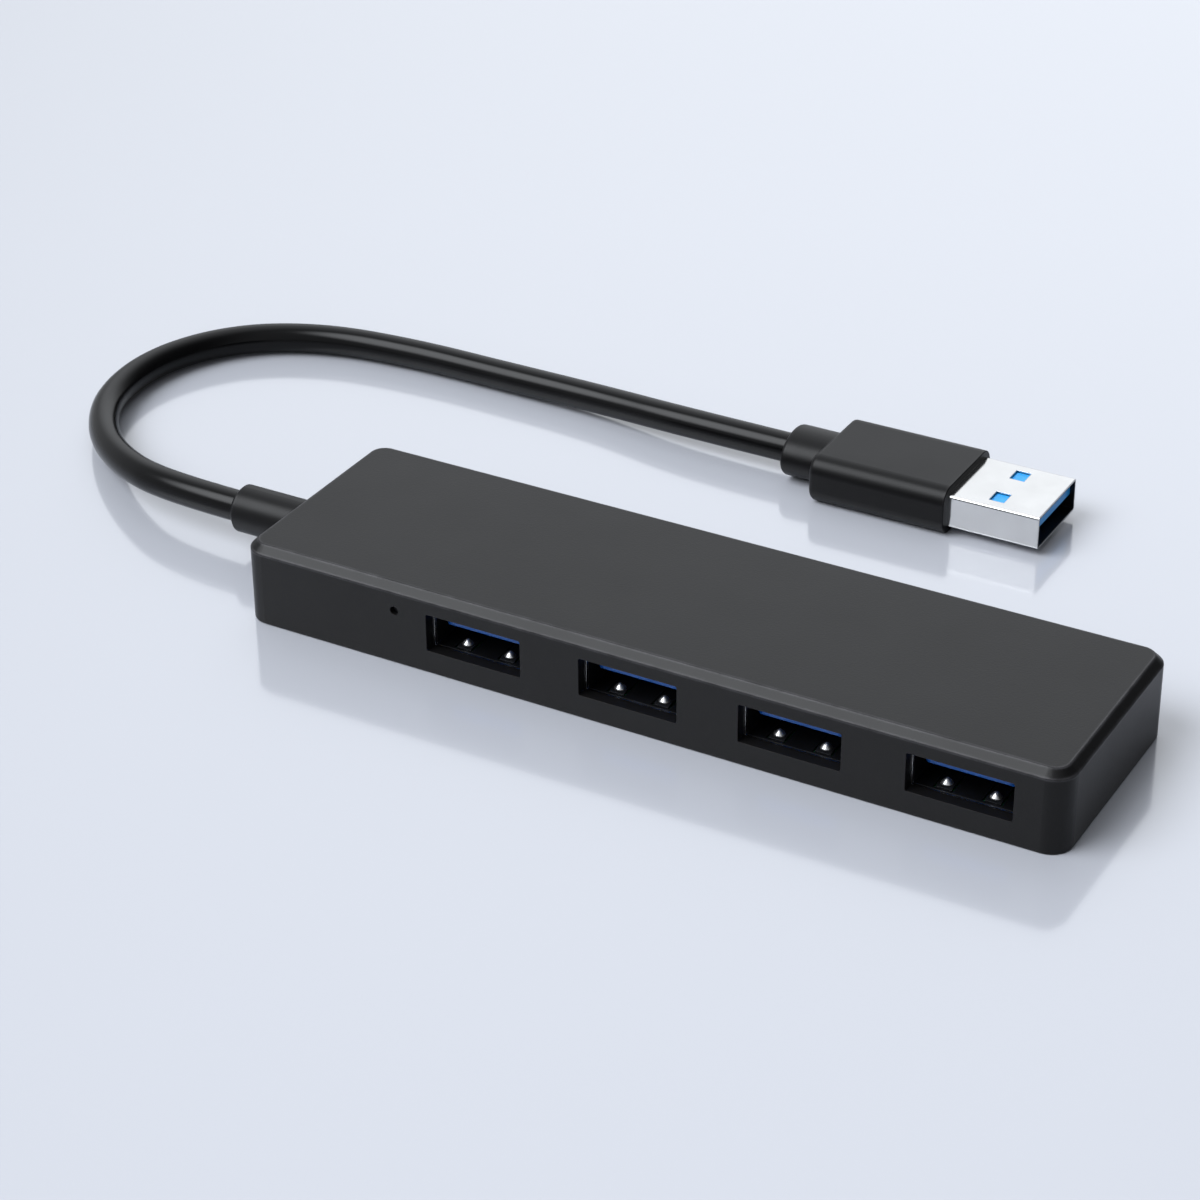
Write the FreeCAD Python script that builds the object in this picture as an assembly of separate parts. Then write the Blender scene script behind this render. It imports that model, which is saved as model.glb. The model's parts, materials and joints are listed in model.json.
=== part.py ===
import FreeCAD, Part
import math
import os

# A slim USB hub with four ports in a row and a short captive cable that ends in a USB-A plug.
# Lengths are in millimetres.  The origin is the middle of the housing's underside.  +X runs
# along the housing, away from the cable.  The ports face -Y, and +Z is up.

Vector = FreeCAD.Vector
X_AXIS = Vector(1, 0, 0)
Y_AXIS = Vector(0, 1, 0)
Z_AXIS = Vector(0, 0, 1)

# Housing: a top shell with four walls, and a plate let into its underside.
LENGTH = 106.0
WIDTH = 30.0
HEIGHT = 10.6
WALL = 1.6
CEILING = 1.3
CORNER_RADIUS = 2.8
TOP_CHAMFER = 1.0
EDGE_SOFTENING = 0.25
PLATE = 1.2
RIM = 0.9
SEAM = 0.08

END_X = LENGTH / 2
FRONT_Y = -WIDTH / 2
INSIDE_TOP = HEIGHT - CEILING

# Ports, each a standard receptacle behind a window in the front wall.
PORT_PITCH = 20.45
FIRST_PORT_X = -20.75
PORT_COUNT = 4
PORT_Z = 5.45
PORT_XS = [FIRST_PORT_X + PORT_PITCH * number for number in range(PORT_COUNT)]
WINDOW_WIDTH = 12.7
WINDOW_HEIGHT = 4.9
WINDOW_RADIUS = 0.25

# USB-A receptacle.
SHEET = 0.3
SHELL_INSIDE_WIDTH = 12.5
SHELL_INSIDE_HEIGHT = 5.12
SHELL_DEPTH = 14.0
SHELL_BEND = 0.5
SHELL_FRONT_Y = FRONT_Y + WALL + 0.1
SHELL_BACK_Y = SHELL_FRONT_Y + SHELL_DEPTH
SHELL_HALF_WIDTH = SHELL_INSIDE_WIDTH / 2 + SHEET
SHELL_HALF_HEIGHT = SHELL_INSIDE_HEIGHT / 2 + SHEET
TONGUE_WIDTH = 11.1
TONGUE_THICKNESS = 1.84
TONGUE_FRONT_Y = FRONT_Y + 2.75
TONGUE_CORNER = 0.7
TONGUE_EDGE = 0.2
HEADER_DEPTH = 2.9
SPRING_X = 2.9
SPRING_WIDTH = 1.9
SPRING_SLOT = 0.25
SPRING_ROOT_Y = SHELL_FRONT_Y + 6.7
SPRING_CREST_Y = SHELL_FRONT_Y + 1.95
SPRING_TIP_Y = SHELL_FRONT_Y + 1.0
SPRING_LIFT = 0.2
SPRING_SHEET = 0.25
DIMPLE_RADIUS = 0.9
DIMPLE_HALF_WIDTH = 0.5
LEG_WIDTH = 1.6
LEG_BELOW_BOARD = 0.2

# Contacts of both connectors: five narrow ones and four between them.
NARROW_OFFSETS = [-4.0, -2.0, 0.0, 2.0, 4.0]
WIDE_OFFSETS = [-3.5, -1.0, 1.0, 3.5]
NARROW_WIDTH = 0.4
WIDE_WIDTH = 0.5
CONTACT_SHEET = 0.15

# Circuit board and what stands on it.
BOARD_TOP = PORT_Z - SHELL_HALF_HEIGHT
BOARD_THICKNESS = 1.0
BOARD_BOTTOM = BOARD_TOP - BOARD_THICKNESS
BOARD_LEFT_X = -49.2
BOARD_RIGHT_X = 51.0
BOARD_HALF_WIDTH = 12.8
BOARD_CORNER = 1.0
PEG_RADIUS = 0.9
PEG_HOLE_RADIUS = 1.0
PEG_SPOTS = [(-46.2, -10.4), (-46.2, 10.4), (49.0, -10.4), (49.0, 10.4)]
PAD_RADIUS = 1.8

# Status light: an LED on the board and a clear pipe that leads its light to the front.
LIGHT_X = -31.45
LIGHT_Z = 7.2
LIGHT_HOLE_RADIUS = 0.55
LIGHT_PIPE_RADIUS = 0.5
LIGHT_PIPE_RECESS = 0.7
LED_Y = -12.3

# Cable.  The free route runs from the mouth of the hub's strain relief to the mouth of the
# plug's neck; at both ends the jacket goes straight on inside the moulding.
CABLE_RADIUS = 2.0
CABLE_FIT = 0.03
CABLE_ROUTE = [
    (-63.4, 0.0, 5.4),
    (-75.1, 0.0, 5.4),
    (-85.6, 4.4, 4.1),
    (-95.0, 12.0, 2.7),
    (-101.5, 22.2, 2.1),
    (-102.4, 34.4, 2.1),
    (-96.6, 45.4, 2.1),
    (-85.9, 51.5, 2.1),
    (-72.0, 53.2, 2.1),
    (-57.3, 53.1, 2.1),
    (-42.3, 52.7, 2.35),
    (-27.0, 50.7, 3.25),
    (-11.5, 50.7, 3.25),
]
CABLE_Z = CABLE_ROUTE[0][2]
JACKET_END_IN_HUB_X = -48.5
JACKET_END_IN_PLUG_X = -4.7

# Strain relief on the hub: a sleeve outside, a neck in the wall and a flange inside.
SLEEVE_RADIUS = 3.05
SLEEVE_LENGTH = 10.7
SLEEVE_BEVEL = 0.5
NECK_RADIUS = 2.5
FLANGE_RADIUS = 3.4
FLANGE_THICKNESS = 1.4
RELIEF_PLAY = 0.05

# Six insulated conductors and the spots on the board where they are soldered.
WIRE_RADIUS = 0.3
WIRE_RING = 1.1
WIRE_ANGLES = [-60, -120, 0, 180, 60, 120]
WIRE_SPREAD = [0.9, -0.9, 2.6, -2.6, 4.4, -4.4]
WIRE_END_X = -41.5
SOLDER_RADIUS = 0.6

# Plug: overmould with a neck, and a standard USB-A plug.
PLUG_Y = CABLE_ROUTE[-1][1]
PLUG_Z = CABLE_ROUTE[-1][2]
OVERMOULD_WIDTH = 14.6
OVERMOULD_HEIGHT = 2 * PLUG_Z
OVERMOULD_RADIUS = 2.1
OVERMOULD_BACK_X = -6.4
OVERMOULD_FRONT_X = 12.5
OVERMOULD_BACK_EDGE = 0.7
OVERMOULD_FRONT_EDGE = 0.12
PLUG_NECK_X = -12.0
PLUG_NECK_WIDTH = 8.6
PLUG_NECK_HEIGHT = 6.3
PLUG_NECK_BEVEL = 0.5
PLUG_MOUTH_X = 24.8
PLUG_SHELL_BACK_X = 4.3
PLUG_WIDTH = 12.0
PLUG_HEIGHT = 4.5
PLUG_BEND = 0.35
PLUG_WINDOW_X = PLUG_MOUTH_X - 6.4
PLUG_WINDOW_Y = 3.2
PLUG_WINDOW_LENGTH = 2.0
PLUG_WINDOW_WIDTH = 2.5
PLUG_TONGUE_FRONT_X = PLUG_MOUTH_X - 0.6
PLUG_TONGUE_BACK_X = 12.2
PLUG_FIT = 0.02


# ---- Helpers -----------------------------------------------------------------------------

def block(x0, x1, y0, y1, z0, z1):
    """A box between two corners."""
    return Part.makeBox(x1 - x0, y1 - y0, z1 - z0, Vector(x0, y0, z0))


def centred_block(x, y, length, width, z0, z1):
    """A box standing on z0, centred on x and y."""
    return block(x - length / 2, x + length / 2, y - width / 2, y + width / 2, z0, z1)


def edges_along(solid, axis):
    """The straight edges of a solid that run along an axis."""
    found = []
    for edge in solid.Edges:
        run = edge.Vertexes[-1].Point - edge.Vertexes[0].Point
        if run.Length > 0 and abs(run.dot(axis)) > 0.999 * run.Length:
            found.append(edge)
    return found


def edges_at(solid, axis, place):
    """The edges that lie in the plane across an axis at a place."""
    tolerance = 1e-4
    found = []
    for edge in solid.Edges:
        box = edge.BoundBox
        low = Vector(box.XMin, box.YMin, box.ZMin).dot(axis)
        high = Vector(box.XMax, box.YMax, box.ZMax).dot(axis)
        if abs(low - place) < tolerance and abs(high - place) < tolerance:
            found.append(edge)
    return found


def rounded_block(x0, x1, y0, y1, z0, z1, axis, radius):
    """A box whose four edges along an axis are rounded."""
    solid = block(x0, x1, y0, y1, z0, z1)
    return solid.makeFillet(radius, edges_along(solid, axis))


def rod(radius, start, end):
    """A round bar between two points."""
    return Part.makeCylinder(radius, (end - start).Length, start, end - start)


def extruded_outline(edges, run):
    """A solid from a closed outline of edges, extruded."""
    return Part.Face(Part.Wire([edge.toShape() for edge in edges])).extrude(run)


def corner_radii(points):
    """The largest even arc at each inner point: 0.45 of the shorter run over tan(half the turn)."""
    radii = []
    for before, corner, after in zip(points, points[1:], points[2:]):
        turn = (corner - before).getAngle(after - corner)
        shorter_run = min((corner - before).Length, (after - corner).Length)
        radii.append(0.45 * shorter_run / math.tan(turn / 2))
    return radii


def rounded_path(points):
    """Straight runs between points, joined by arcs that touch both runs."""
    edges = []
    here = points[0]
    for before, corner, after, radius in zip(points, points[1:], points[2:], corner_radii(points)):
        back = (before - corner).normalize()
        onward = (after - corner).normalize()
        half_turn = (math.pi - back.getAngle(onward)) / 2
        arc_start = corner + back * (radius * math.tan(half_turn))
        arc_end = corner + onward * (radius * math.tan(half_turn))
        bisector = (back + onward).normalize()
        arc_middle = corner + bisector * (radius / math.cos(half_turn) - radius)
        edges.append(Part.LineSegment(here, arc_start).toShape())
        edges.append(Part.Arc(arc_start, arc_middle, arc_end).toShape())
        here = arc_end
    edges.append(Part.LineSegment(here, points[-1]).toShape())
    return Part.Wire(edges)


def tube(points, radius):
    """A round solid bar that follows the rounded path through points."""
    path = rounded_path(points)
    ring = Part.Wire(Part.makeCircle(radius, points[0], points[1] - points[0]))
    return path.makePipeShell([ring], True, False)


def fused(solids):
    """One solid from several that meet."""
    return solids[0].multiFuse(solids[1:]).removeSplitter()


# ---- Housing -----------------------------------------------------------------------------

def housing_outside():
    """The outer form: round vertical corners and a chamfer round the top, its edges softened."""
    solid = rounded_block(-END_X, END_X, FRONT_Y, -FRONT_Y, 0, HEIGHT, Z_AXIS, CORNER_RADIUS)
    solid = solid.makeChamfer(TOP_CHAMFER, edges_at(solid, Z_AXIS, HEIGHT))
    sharp = edges_at(solid, Z_AXIS, HEIGHT) + edges_at(solid, Z_AXIS, HEIGHT - TOP_CHAMFER)
    sharp += edges_at(solid, Z_AXIS, 0)
    return solid.makeFillet(EDGE_SOFTENING, sharp)


def housing_cavity():
    """The room inside the walls, with the wider rebate that the bottom plate sits in."""
    room = rounded_block(-END_X + WALL, END_X - WALL, FRONT_Y + WALL, -FRONT_Y - WALL,
                         -1, INSIDE_TOP, Z_AXIS, CORNER_RADIUS - WALL)
    rebate = rounded_block(-END_X + RIM, END_X - RIM, FRONT_Y + RIM, -FRONT_Y - RIM,
                           -1, PLATE, Z_AXIS, CORNER_RADIUS - RIM)
    return room.fuse(rebate)


def port_window(x):
    """The opening in the front wall for one port."""
    return rounded_block(x - WINDOW_WIDTH / 2, x + WINDOW_WIDTH / 2, FRONT_Y - 1, FRONT_Y + WALL + 0.5,
                         PORT_Z - WINDOW_HEIGHT / 2, PORT_Z + WINDOW_HEIGHT / 2, Y_AXIS, WINDOW_RADIUS)


def relief_slot(half_width):
    """A slot through the end wall, open at the bottom, with a round top on the cable's axis."""
    outer = Vector(-END_X - 1, 0, CABLE_Z)
    inner = Vector(-END_X + WALL, 0, CABLE_Z)
    upper = rod(half_width, outer, inner)
    lower = block(outer.x, inner.x, -half_width, half_width, -1, CABLE_Z)
    return upper.fuse(lower)


def hold_down_rib(x):
    """A rib under the ceiling that keeps one receptacle on the board."""
    rib_length = 8.0
    rib_width = 1.2
    play = 0.05
    return centred_block(x, -4.0, rib_length, rib_width, PORT_Z + SHELL_HALF_HEIGHT + play, INSIDE_TOP)


def top_cover():
    """The upper shell: top, four walls, port windows, light hole and cable slot."""
    cover = housing_outside().cut(housing_cavity())
    light_hole = rod(LIGHT_HOLE_RADIUS, Vector(LIGHT_X, FRONT_Y - 1, LIGHT_Z),
                     Vector(LIGHT_X, FRONT_Y + WALL + 1, LIGHT_Z))
    openings = [port_window(x) for x in PORT_XS]
    openings += [light_hole, relief_slot(NECK_RADIUS + RELIEF_PLAY)]
    cover = cover.cut(openings)
    return fused([cover] + [hold_down_rib(x) for x in PORT_XS])


def bottom_cover():
    """The plate in the underside, with board pads, locating pegs and the saddle under the cable."""
    inset = RIM + SEAM
    plate = rounded_block(-END_X + inset, END_X - inset, FRONT_Y + inset, -FRONT_Y - inset,
                          0, PLATE, Z_AXIS, CORNER_RADIUS - inset)
    pieces = [plate]
    peg_above_board = 0.7
    overlap = 0.2
    for x, y in PEG_SPOTS:
        foot = Vector(x, y, PLATE - overlap)
        pieces.append(rod(PAD_RADIUS, foot, Vector(x, y, BOARD_BOTTOM)))
        pieces.append(rod(PEG_RADIUS, foot, Vector(x, y, BOARD_TOP + peg_above_board)))
    saddle = block(-END_X, -END_X + WALL - RELIEF_PLAY, -NECK_RADIUS, NECK_RADIUS, 0, CABLE_Z)
    neck_room = rod(NECK_RADIUS + RELIEF_PLAY, Vector(-END_X - 1, 0, CABLE_Z),
                    Vector(-END_X + WALL + 1, 0, CABLE_Z))
    pieces.append(saddle.cut(neck_room))
    return fused(pieces)


# ---- Circuit board -----------------------------------------------------------------------

def circuit_board():
    """The board, with peg holes and a slot for each leg of each receptacle."""
    board = rounded_block(BOARD_LEFT_X, BOARD_RIGHT_X, -BOARD_HALF_WIDTH, BOARD_HALF_WIDTH,
                          BOARD_BOTTOM, BOARD_TOP, Z_AXIS, BOARD_CORNER)
    play = 0.1
    cuts = [rod(PEG_HOLE_RADIUS, Vector(x, y, 0), Vector(x, y, HEIGHT)) for x, y in PEG_SPOTS]
    for x in PORT_XS:
        for side in (-1, 1):
            centre_x = x + side * (SHELL_HALF_WIDTH - SHEET / 2)
            cuts.append(centred_block(centre_x, leg_y(), SHEET + 2 * play, LEG_WIDTH + 2 * play,
                                      0, HEIGHT))
    return board.cut(cuts)


def chip(x, y, length, width, height):
    """A component body standing on the board, its top edges slightly bevelled."""
    bevel = 0.08
    body = centred_block(x, y, length, width, BOARD_TOP, BOARD_TOP + height)
    return body.makeChamfer(bevel, edges_at(body, Z_AXIS, BOARD_TOP + height))


def hub_controller():
    """The controller chip, with a round mark sunk in its first corner."""
    x, y, side, height = 9.5, 7.2, 8.0, 0.85
    mark_radius, mark_depth, mark_inset = 0.4, 0.1, 1.2
    top = BOARD_TOP + height
    mark = rod(mark_radius, Vector(x - side / 2 + mark_inset, y - side / 2 + mark_inset, top - mark_depth),
               Vector(x - side / 2 + mark_inset, y - side / 2 + mark_inset, top + 1))
    return chip(x, y, side, side, height).cut(mark)


def crystal():
    """The crystal's metal can, with round upright edges."""
    x, y, length, width, height, corner = -0.5, 7.2, 3.2, 2.5, 0.8, 0.4
    can = centred_block(x, y, length, width, BOARD_TOP, BOARD_TOP + height)
    return can.makeFillet(corner, edges_along(can, Z_AXIS))


def voltage_regulator():
    """The regulator: a moulded body, three leads in front and a cooling tab behind."""
    x, y, length, width, height = -14.0, 7.4, 6.5, 3.5, 1.6
    lead_width, lead_length, lead_sheet, lead_pitch, tab_width = 0.7, 1.6, 0.25, 2.3, 3.0
    body = chip(x, y, length, width, height)
    pieces = [body]
    for step in (-1, 0, 1):
        pieces.append(centred_block(x + step * lead_pitch, y - width / 2 - lead_length / 2 + 0.1,
                                    lead_width, lead_length, BOARD_TOP, BOARD_TOP + lead_sheet))
    pieces.append(centred_block(x, y + width / 2 + lead_length / 2 - 0.1,
                                tab_width, lead_length, BOARD_TOP, BOARD_TOP + lead_sheet))
    return fused(pieces)


def power_inductor():
    """The inductor: a square ferrite body with round upright edges."""
    x, y, side, height, corner = 25.0, 7.4, 4.0, 1.8, 0.8
    body = centred_block(x, y, side, side, BOARD_TOP, BOARD_TOP + height)
    return body.makeFillet(corner, edges_along(body, Z_AXIS))


def capacitors():
    """A large capacitor behind each port, and small ones in two columns beside the controller."""
    large_x_from_port, large_y = -4.8, 3.2
    large_length, large_width, large_height = 3.2, 1.6, 1.5
    column_xs, row_ys = (2.6, 16.4), (4.6, 7.2, 9.8)
    small_length, small_width, small_height = 1.6, 0.8, 0.8
    bodies = []
    for x in PORT_XS:
        bodies.append(chip(x + large_x_from_port, large_y, large_length, large_width, large_height))
    for x in column_xs:
        for y in row_ys:
            bodies.append(chip(x, y, small_length, small_width, small_height))
    return Part.makeCompound(bodies)


def resistors():
    """Small resistors in a row along the back of the board."""
    first_x, pitch, count, y = -36.0, 3.2, 6, 8.0
    length, width, height = 0.8, 1.6, 0.45
    bodies = []
    for number in range(count):
        bodies.append(chip(first_x + number * pitch, y, length, width, height))
    return Part.makeCompound(bodies)


def status_led():
    """The LED under the foot of the light pipe."""
    length, width, height = 1.6, 0.8, 0.6
    return chip(LIGHT_X, LED_Y, length, width, height)


def light_pipe():
    """A clear pipe: a column over the LED, a slope that turns the light, and a round nose."""
    half_width = 1.1
    column_front_y = FRONT_Y + WALL + 0.1
    column_back_y = column_front_y + 2.2
    column_top = LIGHT_Z + 0.9
    column_foot = BOARD_TOP + 0.7
    slope = 1.2
    column = block(LIGHT_X - half_width, LIGHT_X + half_width, column_front_y, column_back_y,
                   column_foot, column_top)
    back_edges = edges_at(column, Y_AXIS, column_back_y)
    top_back_edge = [edge for edge in back_edges if edge.BoundBox.ZMin > column_top - slope]
    column = column.makeChamfer(slope, top_back_edge)
    nose = rod(LIGHT_PIPE_RADIUS, Vector(LIGHT_X, FRONT_Y + LIGHT_PIPE_RECESS, LIGHT_Z),
               Vector(LIGHT_X, column_front_y + 0.5, LIGHT_Z))
    return column.fuse(nose)


# ---- Receptacles -------------------------------------------------------------------------

def leg_y():
    """The place of the receptacle's legs along its depth."""
    return SHELL_FRONT_Y + 5.0


def spring_outline(outer_z, inward):
    """The side view of a spring finger: a gentle rise, a round crest and a turned-down tip."""
    root_overlap, crest_length, crest_fall = 0.4, 0.9, 0.05
    def at(y, height):
        return Vector(0, y, outer_z + inward * height)
    top = [(SPRING_ROOT_Y + root_overlap, SHEET),
           (SPRING_CREST_Y + crest_length, SHEET + SPRING_LIFT - crest_fall),
           (SPRING_CREST_Y, SHEET + SPRING_LIFT), (SPRING_TIP_Y, SPRING_SHEET)]
    upper = [at(y, height) for y, height in top]
    lower = [at(y, height - SPRING_SHEET) for y, height in top]
    return [Part.LineSegment(upper[0], upper[1]), Part.Arc(upper[1], upper[2], upper[3]),
            Part.LineSegment(upper[3], lower[3]), Part.Arc(lower[3], lower[2], lower[1]),
            Part.LineSegment(lower[1], lower[0]), Part.LineSegment(lower[0], upper[0])]


def spring_finger(x, outer_z, inward):
    """One finger pressed out of the shell, with a dimple on its crest that touches the plug."""
    finger = extruded_outline(spring_outline(outer_z, inward), X_AXIS * SPRING_WIDTH)
    finger.translate(X_AXIS * (x - SPRING_WIDTH / 2))
    latitude = math.degrees(math.acos(DIMPLE_HALF_WIDTH / DIMPLE_RADIUS))
    base_height = DIMPLE_RADIUS * math.sin(math.radians(latitude))
    sunk, behind_crest = 0.05, 0.05
    centre_z = outer_z + inward * (SHEET + SPRING_LIFT - sunk - base_height)
    dimple = Part.makeSphere(DIMPLE_RADIUS, Vector(x, SPRING_CREST_Y + behind_crest, centre_z),
                             Z_AXIS * inward, latitude, 90, 360)
    return finger.fuse(dimple)


def port_shell(x):
    """The receptacle's folded sheet shell, with four spring fingers and two legs."""
    half_inside = SHELL_INSIDE_WIDTH / 2
    half_room = SHELL_INSIDE_HEIGHT / 2
    outside = rounded_block(x - SHELL_HALF_WIDTH, x + SHELL_HALF_WIDTH, SHELL_FRONT_Y, SHELL_BACK_Y,
                            PORT_Z - SHELL_HALF_HEIGHT, PORT_Z + SHELL_HALF_HEIGHT, Y_AXIS, SHELL_BEND)
    inside = rounded_block(x - half_inside, x + half_inside, SHELL_FRONT_Y - 1, SHELL_BACK_Y + 1,
                           PORT_Z - half_room, PORT_Z + half_room, Y_AXIS, SHELL_BEND - SHEET)
    shell = outside.cut(inside)
    slots = []
    fingers = []
    for side in (-1, 1):
        finger_x = x + side * SPRING_X
        for inward in (1, -1):
            outer_z = PORT_Z - inward * SHELL_HALF_HEIGHT
            low, high = sorted((outer_z - inward, outer_z + inward * (SHEET + 0.01)))
            slots.append(block(finger_x - SPRING_WIDTH / 2 - SPRING_SLOT,
                               finger_x + SPRING_WIDTH / 2 + SPRING_SLOT,
                               SPRING_TIP_Y - SPRING_SLOT, SPRING_ROOT_Y, low, high))
            fingers.append(spring_finger(finger_x, outer_z, inward))
    shell = shell.cut(slots)
    legs = []
    leg_top = BOARD_TOP + 1.0
    for side in (-1, 1):
        centre_x = x + side * (SHELL_HALF_WIDTH - SHEET / 2)
        legs.append(centred_block(centre_x, leg_y(), SHEET, LEG_WIDTH,
                                  BOARD_BOTTOM - LEG_BELOW_BOARD, leg_top))
    return fused([shell] + fingers + legs)


def contact(offset, width, front_y, arch):
    """One contact of a receptacle: along the tongue's underside, through the header, to the board."""
    foot_length = 1.2
    back_y = SHELL_BACK_Y + 0.1
    strip = block(offset - width / 2, offset + width / 2, front_y, back_y + CONTACT_SHEET,
                  PORT_Z - CONTACT_SHEET, PORT_Z)
    drop = block(offset - width / 2, offset + width / 2, back_y, back_y + CONTACT_SHEET,
                 BOARD_TOP, PORT_Z)
    foot = block(offset - width / 2, offset + width / 2, back_y, back_y + foot_length,
                 BOARD_TOP, BOARD_TOP + CONTACT_SHEET)
    pieces = [strip, drop, foot]
    if arch > 0:
        pieces.append(contact_arch(offset, width, front_y, arch))
    return fused(pieces)


def contact_arch(offset, width, front_y, depth):
    """The bowed part of a springy contact, hanging under its strip."""
    length, foot = 4.6, 0.6
    base_z = PORT_Z - CONTACT_SHEET / 2
    start = Vector(offset - width / 2, front_y, base_z)
    end = start + Y_AXIS * length
    crest = (start + end) * 0.5 - Z_AXIS * depth
    upper_start = start + Z_AXIS * (CONTACT_SHEET / 2)
    upper_end = end + Z_AXIS * (CONTACT_SHEET / 2)
    upper_crest = crest + Z_AXIS * CONTACT_SHEET
    outline = [Part.Arc(start, crest, end), Part.LineSegment(end, upper_end),
               Part.LineSegment(upper_end, upper_end - Y_AXIS * foot),
               Part.Arc(upper_end - Y_AXIS * foot, upper_crest, upper_start + Y_AXIS * foot),
               Part.LineSegment(upper_start + Y_AXIS * foot, upper_start),
               Part.LineSegment(upper_start, start)]
    return extruded_outline(outline, X_AXIS * width)


def port_contacts(x):
    """The nine contacts of one receptacle: five flat ones near the mouth, four bowed ones behind."""
    narrow_front_y = TONGUE_FRONT_Y + 0.5
    wide_front_y = TONGUE_FRONT_Y + 3.4
    arch = 0.8
    contacts = [contact(x + offset, NARROW_WIDTH, narrow_front_y, 0) for offset in NARROW_OFFSETS]
    contacts += [contact(x + offset, WIDE_WIDTH, wide_front_y, arch) for offset in WIDE_OFFSETS]
    return Part.makeCompound(contacts)


def port_insulator(x):
    """The blue moulding: a tongue with bevelled front corners, and the header behind it."""
    header_front_y = SHELL_BACK_Y - HEADER_DEPTH
    header_play = 0.05
    half = TONGUE_WIDTH / 2
    tongue = block(x - half, x + half, TONGUE_FRONT_Y, header_front_y, PORT_Z, PORT_Z + TONGUE_THICKNESS)
    front = edges_at(tongue, Y_AXIS, TONGUE_FRONT_Y)
    upright = [edge for edge in front if edge.BoundBox.ZLength > TONGUE_THICKNESS / 2]
    tongue = tongue.makeChamfer(TONGUE_CORNER, upright)
    tongue = tongue.makeChamfer(TONGUE_EDGE, edges_at(tongue, Y_AXIS, TONGUE_FRONT_Y))
    half_header = SHELL_INSIDE_WIDTH / 2 - header_play
    half_height = SHELL_INSIDE_HEIGHT / 2 - header_play
    header = rounded_block(x - half_header, x + half_header, header_front_y, SHELL_BACK_Y,
                           PORT_Z - half_height, PORT_Z + half_height, Y_AXIS, SHELL_BEND - SHEET)
    return tongue.fuse(header).cut(port_contacts(x))


# ---- Cable and strain relief -------------------------------------------------------------

def cable_points():
    """The free route, with its ends moved along their own lines to the ends of the jacket."""
    points = [Vector(*point) for point in CABLE_ROUTE]
    points[0] = Vector(JACKET_END_IN_HUB_X, points[0].y, points[0].z)
    points[-1] = Vector(JACKET_END_IN_PLUG_X, points[-1].y, points[-1].z)
    return points


def cable():
    """The jacketed cable, one round bar from inside the hub to inside the plug."""
    return tube(cable_points(), CABLE_RADIUS)


def cable_strain_relief():
    """The moulded sleeve on the cable, with a neck and a flange that the end wall holds."""
    wall_out = -END_X - RELIEF_PLAY
    wall_in = -END_X + WALL + RELIEF_PLAY
    tip = -END_X - SLEEVE_LENGTH
    along = [Vector(x, 0, CABLE_Z) for x in (tip, wall_out, wall_in, wall_in + FLANGE_THICKNESS)]
    sleeve = rod(SLEEVE_RADIUS, along[0], along[1])
    sleeve = sleeve.makeChamfer(SLEEVE_BEVEL, edges_at(sleeve, X_AXIS, tip))
    neck = rod(NECK_RADIUS, along[1], along[2])
    flange = rod(FLANGE_RADIUS, along[2], along[3])
    bore = rod(CABLE_RADIUS + CABLE_FIT, along[0] - X_AXIS, along[3] + X_AXIS)
    return fused([sleeve, neck, flange]).cut(bore)


def wire_start(angle, x, y, z):
    """Where one conductor leaves the jacket, on a ring round the cable's axis."""
    turn = math.radians(angle)
    return Vector(x, y + WIRE_RING * math.cos(turn), z + WIRE_RING * math.sin(turn))


def hub_wires():
    """The conductors, fanned out from the jacket's end to their pads on the board."""
    lead = 2.0
    wires = []
    for angle, spread in zip(WIRE_ANGLES, WIRE_SPREAD):
        start = wire_start(angle, JACKET_END_IN_HUB_X, 0, CABLE_Z)
        end = Vector(WIRE_END_X, spread, BOARD_TOP + WIRE_RADIUS)
        points = [start, start + X_AXIS * lead, end - X_AXIS * lead, end]
        wires.append(tube(points, WIRE_RADIUS))
    return Part.makeCompound(wires)


def solder_joints():
    """A dome of solder over the end of each conductor."""
    domes = []
    for spread in WIRE_SPREAD:
        centre = Vector(WIRE_END_X, spread, BOARD_TOP)
        domes.append(Part.makeSphere(SOLDER_RADIUS, centre, Z_AXIS, 0, 90, 360))
    return Part.makeCompound([dome.cut(hub_wires()) for dome in domes])


# ---- Plug --------------------------------------------------------------------------------

def plug_section(x0, x1, grow, bend):
    """A bar along X with the plug's outside section, grown or shrunk evenly."""
    half_width = PLUG_WIDTH / 2 + grow
    half_height = PLUG_HEIGHT / 2 + grow
    return rounded_block(x0, x1, PLUG_Y - half_width, PLUG_Y + half_width,
                         PLUG_Z - half_height, PLUG_Z + half_height, X_AXIS, bend)


def plug_shell():
    """The plug's metal shell, with two windows in its top and two in its underside."""
    shell = plug_section(PLUG_SHELL_BACK_X, PLUG_MOUTH_X, 0, PLUG_BEND)
    shell = shell.cut(plug_section(PLUG_SHELL_BACK_X - 1, PLUG_MOUTH_X + 1, -SHEET, PLUG_BEND - SHEET / 2))
    windows = []
    for side in (-1, 1):
        windows.append(centred_block(PLUG_WINDOW_X, PLUG_Y + side * PLUG_WINDOW_Y,
                                     PLUG_WINDOW_LENGTH, PLUG_WINDOW_WIDTH, 0, 2 * PLUG_Z))
    return shell.cut(windows)


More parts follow.
